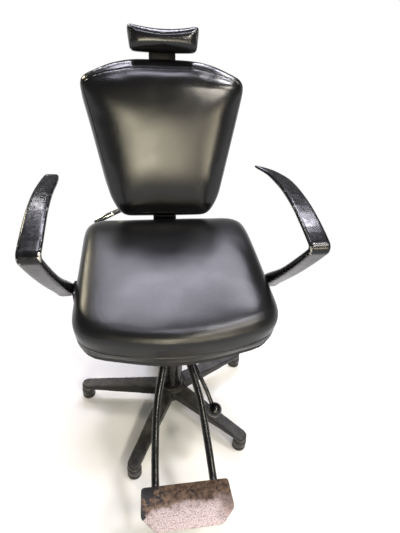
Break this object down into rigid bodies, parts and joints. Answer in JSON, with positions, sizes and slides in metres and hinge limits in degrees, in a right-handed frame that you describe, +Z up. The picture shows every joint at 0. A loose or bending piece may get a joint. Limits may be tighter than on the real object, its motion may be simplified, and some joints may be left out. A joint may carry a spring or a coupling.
{
  "type": "hydraulic barber chair",
  "caption": "Hydraulic barber chair on a star base: lifting, turning seat, reclining back, adjustable headrest, curved cast arms, pump lever and a bent-tube footrest.",
  "frame": {"origin": "on the floor, on the axis that the seat lifts and turns about, which is within 8 mm of the middle of the object's footprint", "axes": "+Z up, -Y the way the sitter faces, +X to the sitter's left, which is the right of the picture"},
  "size_m": [0.6944, 0.987, 1.0957],
  "materials": {
    "base_paint": "satin",
    "frame_paint": "satin",
    "arm_paint": "gloss",
    "bare_steel": "satin",
    "zinc_steel": "satin",
    "chromed_steel": "polished",
    "worn_plate": "matte",
    "bronze": "satin",
    "black_rubber": "matte",
    "glide_plastic": "matte",
    "knob_plastic": "gloss",
    "black_vinyl": "gloss",
    "seat_wood": "matte",
    "back_wood": "matte",
    "cover_plastic": "satin"
  },
  "bodies": {
    "base": {"star_base": "base_paint", "hub_ring": "zinc_steel", "floor_glides": "glide_plastic", "glide_studs": "zinc_steel", "glide_washers": "zinc_steel", "base_bolt": "zinc_steel", "pump_housing": "base_paint", "pump_foot": "bare_steel", "inner_cylinder": "bare_steel", "pump_head": "base_paint", "gland_bush": "bronze", "rod_wiper": "black_rubber", "lever_pin": "bare_steel"},
    "plunger": {"pump_plunger": "bare_steel"},
    "pump_lever": {"lever_fork": "base_paint", "lever_rod": "base_paint", "lever_knob": "knob_plastic"},
    "ram": {"lift_ram": "chromed_steel", "ram_piston": "bare_steel", "piston_seal": "black_rubber", "thrust_bearing": "bare_steel"},
    "seat": {"swivel_hub": "frame_paint", "centre_plate": "frame_paint", "frame_rails": "frame_paint", "frame_bolts": "zinc_steel", "flange_bolts": "zinc_steel", "board_screws": "zinc_steel", "seat_board": "seat_wood", "seat_cushion": "black_vinyl", "arm_angles": "zinc_steel", "left_arm": "arm_paint", "right_arm": "arm_paint", "arm_bolts": "zinc_steel", "footrest_clamp": "frame_paint", "footrest_tubes": "base_paint", "footplate": "worn_plate", "plate_saddles": "frame_paint", "saddle_bolts": "zinc_steel", "hinge_bracket": "frame_paint", "recline_pin": "bare_steel", "strut_bracket": "frame_paint", "strut_front_pin": "bare_steel"},
    "gas_cylinder": {"gas_cylinder": "base_paint"},
    "gas_rod": {"gas_rod": "chromed_steel"},
    "back": {"back_strip": "frame_paint", "strut_rear_pin": "bare_steel", "back_board": "back_wood", "back_cushion": "black_vinyl", "back_cover": "cover_plastic", "strip_bolts": "zinc_steel", "headrest_socket": "frame_paint"},
    "release": {"release_lever": "chromed_steel", "release_grip": "chromed_steel"},
    "clamp_knob": {"clamp_knob": "knob_plastic"},
    "headrest_post": {"headrest_bar": "frame_paint", "tilt_pin": "bare_steel"},
    "headrest": {"headrest_bracket": "frame_paint", "headrest_board": "back_wood", "headrest_cushion": "black_vinyl"}
  },
  "joints": [
    {"name": "lift", "type": "slide", "parent": "base", "child": "ram", "axis": [0, 0, 1], "range_m": [0, 0.15]},
    {"name": "swivel", "type": "hinge", "parent": "ram", "child": "seat", "pos_m": [0, 0, 0.4], "axis": [0, 0, 1], "continuous": true},
    {"name": "pump_lever", "type": "hinge", "parent": "base", "child": "pump_lever", "pos_m": [0.02361, -0.04633, 0.324], "axis": [0.891, 0.454, 0], "range_deg": [0, 25], "stiffness_Nm_per_rad": 3, "springref_deg": -28.65},
    {"name": "plunger", "type": "slide", "parent": "base", "child": "plunger", "axis": [0, 0, -1], "range_m": [0, 0.0104]},
    {"name": "recline", "type": "hinge", "parent": "seat", "child": "back", "pos_m": [0, 0.305, 0.4303], "axis": [-1, 0, 0], "range_deg": [0, 45]},
    {"name": "gas_cylinder", "type": "hinge", "parent": "seat", "child": "gas_cylinder", "pos_m": [0, 0.104, 0.3963], "axis": [-1, 0, 0], "range_deg": [0, 1]},
    {"name": "gas_rod", "type": "hinge", "parent": "back", "child": "gas_rod", "pos_m": [0, 0.32031, 0.39334], "axis": [-1, 0, 0], "range_deg": [-45, 0]},
    {"name": "release", "type": "hinge", "parent": "back", "child": "release", "pos_m": [-0.08, 0.34121, 0.59987], "axis": [0, 0.9511, -0.309], "range_deg": [0, 15], "stiffness_Nm_per_rad": 2, "springref_deg": -17.19},
    {"name": "clamp_knob", "type": "hinge", "parent": "back", "child": "clamp_knob", "pos_m": [0, 0.46249, 0.91586], "axis": [0, 0.9511, -0.309], "range_deg": [0, 270]},
    {"name": "headrest_slide", "type": "slide", "parent": "back", "child": "headrest_post", "axis": [0, 0.309, 0.9511], "range_m": [0, 0.09]},
    {"name": "headrest_tilt", "type": "hinge", "parent": "headrest_post", "child": "headrest", "pos_m": [0, 0.48797, 1.04217], "axis": [-1, 0, 0], "range_deg": [-4, 35]}
  ],
  "couplings": [
    {"joint": "plunger", "follows": "pump_lever", "m_per_rad": 0.0235},
    {"joint": "gas_cylinder", "follows": "recline", "ratio": 0.012},
    {"joint": "gas_rod", "follows": "recline", "ratio": -0.988}
  ]
}
